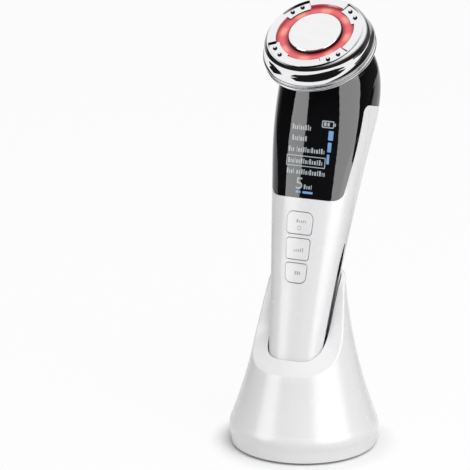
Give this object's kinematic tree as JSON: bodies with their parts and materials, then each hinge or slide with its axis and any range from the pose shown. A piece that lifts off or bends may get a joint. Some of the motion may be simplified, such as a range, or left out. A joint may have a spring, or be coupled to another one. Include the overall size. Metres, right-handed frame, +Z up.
{
  "type": "face massager",
  "caption": "Face massager handset with a tilted chrome head, red light ring and black display hood, standing in a conical white charging dock.",
  "frame": {"origin": "Middle of the plane that the dock's feet rest on.", "axes": "+Z up from the table, -Y is the front that the display and buttons face, +X is the right-hand side as seen by a person who looks at the display."},
  "size_m": [0.0706, 0.0869, 0.2081],
  "materials": {
    "white_gloss": "gloss",
    "black_gloss": "gloss",
    "chrome_trim": "polished",
    "plate_metal": "polished",
    "ring_light": "gloss",
    "led_lens": "gloss",
    "black_plastic": "matt",
    "white_plastic": "matt",
    "board_green": "satin",
    "ceramic_white": "matt",
    "sink_aluminium": "satin",
    "steel": "satin",
    "gold_contact": "polished",
    "display_glass": "gloss",
    "battery_wrap": "satin",
    "soft_rubber": "matt",
    "wire_cover": "satin"
  },
  "bodies": {
    "dock": {"dock_shell": "white_gloss", "dock_base_plate": "white_plastic", "contact_board": "board_green", "inlet_board": "board_green", "dock_screws": "steel", "contact_screws": "steel", "inlet_screws": "steel", "dock_ballast": "steel", "dock_spring_left": "steel", "dock_spring_right": "steel", "inlet_socket": "steel", "dock_barrels": "gold_contact", "dock_feet": "soft_rubber", "dock_leads": "wire_cover"},
    "handset": {"front_shell": "white_gloss", "back_shell": "white_gloss", "front_hood": "black_gloss", "head_bezel": "chrome_trim", "electrode_1": "chrome_trim", "electrode_2": "chrome_trim", "electrode_3": "chrome_trim", "electrode_4": "chrome_trim", "contact_strip_left": "chrome_trim", "contact_strip_right": "chrome_trim", "centre_plate": "plate_metal", "light_ring": "ring_light", "leds": "led_lens", "head_base": "black_plastic", "chassis": "black_plastic", "display_holder": "black_plastic", "tact_switches": "black_plastic", "board_components": "black_plastic", "main_board": "board_green", "led_board": "board_green", "cooling_module": "ceramic_white", "heat_sink": "sink_aluminium", "head_screws": "steel", "shell_screws": "steel", "chassis_screws": "steel", "vibration_motor": "steel", "charge_contacts": "gold_contact", "display": "display_glass", "battery": "battery_wrap", "plate_seal": "soft_rubber", "battery_pad": "soft_rubber", "head_ribbon": "wire_cover", "battery_leads": "wire_cover"},
    "ok_button_body": {"ok_button": "white_gloss", "ok_plunger": "black_plastic"},
    "level_button_body": {"level_button": "white_gloss", "level_plunger": "black_plastic"},
    "mode_button_body": {"mode_button": "white_gloss", "mode_plunger": "black_plastic"},
    "motor_rotor": {"motor_shaft": "steel", "eccentric_weight": "steel"},
    "pin_left_body": {"dock_pin_left": "gold_contact"},
    "pin_right_body": {"dock_pin_right": "gold_contact"}
  },
  "joints": [
    {"name": "handset_lift", "type": "slide", "parent": "dock", "child": "handset", "axis": [0, 0.2639, 0.9646], "range_m": [0, 0.08]},
    {"name": "ok_press", "type": "slide", "parent": "handset", "child": "ok_button_body", "axis": [0, 0.9646, -0.2639], "range_m": [0, 0.0005], "stiffness_N_per_m": 900},
    {"name": "level_press", "type": "slide", "parent": "handset", "child": "level_button_body", "axis": [0, 0.9646, -0.2639], "range_m": [0, 0.0005], "stiffness_N_per_m": 900},
    {"name": "mode_press", "type": "slide", "parent": "handset", "child": "mode_button_body", "axis": [0, 0.9646, -0.2639], "range_m": [0, 0.0005], "stiffness_N_per_m": 900},
    {"name": "motor_spin", "type": "hinge", "parent": "handset", "child": "motor_rotor", "pos_m": [0, 0.01838, 0.138], "axis": [0, 0.2639, 0.9646], "continuous": true},
    {"name": "pin_left_press", "type": "slide", "parent": "dock", "child": "pin_left_body", "axis": [0, -0.2639, -0.9646], "range_m": [0, 0.0008], "stiffness_N_per_m": 400, "deforming": ["dock_spring_left"]},
    {"name": "pin_right_press", "type": "slide", "parent": "dock", "child": "pin_right_body", "axis": [0, -0.2639, -0.9646], "range_m": [0, 0.0008], "stiffness_N_per_m": 400, "deforming": ["dock_spring_right"]}
  ]
}
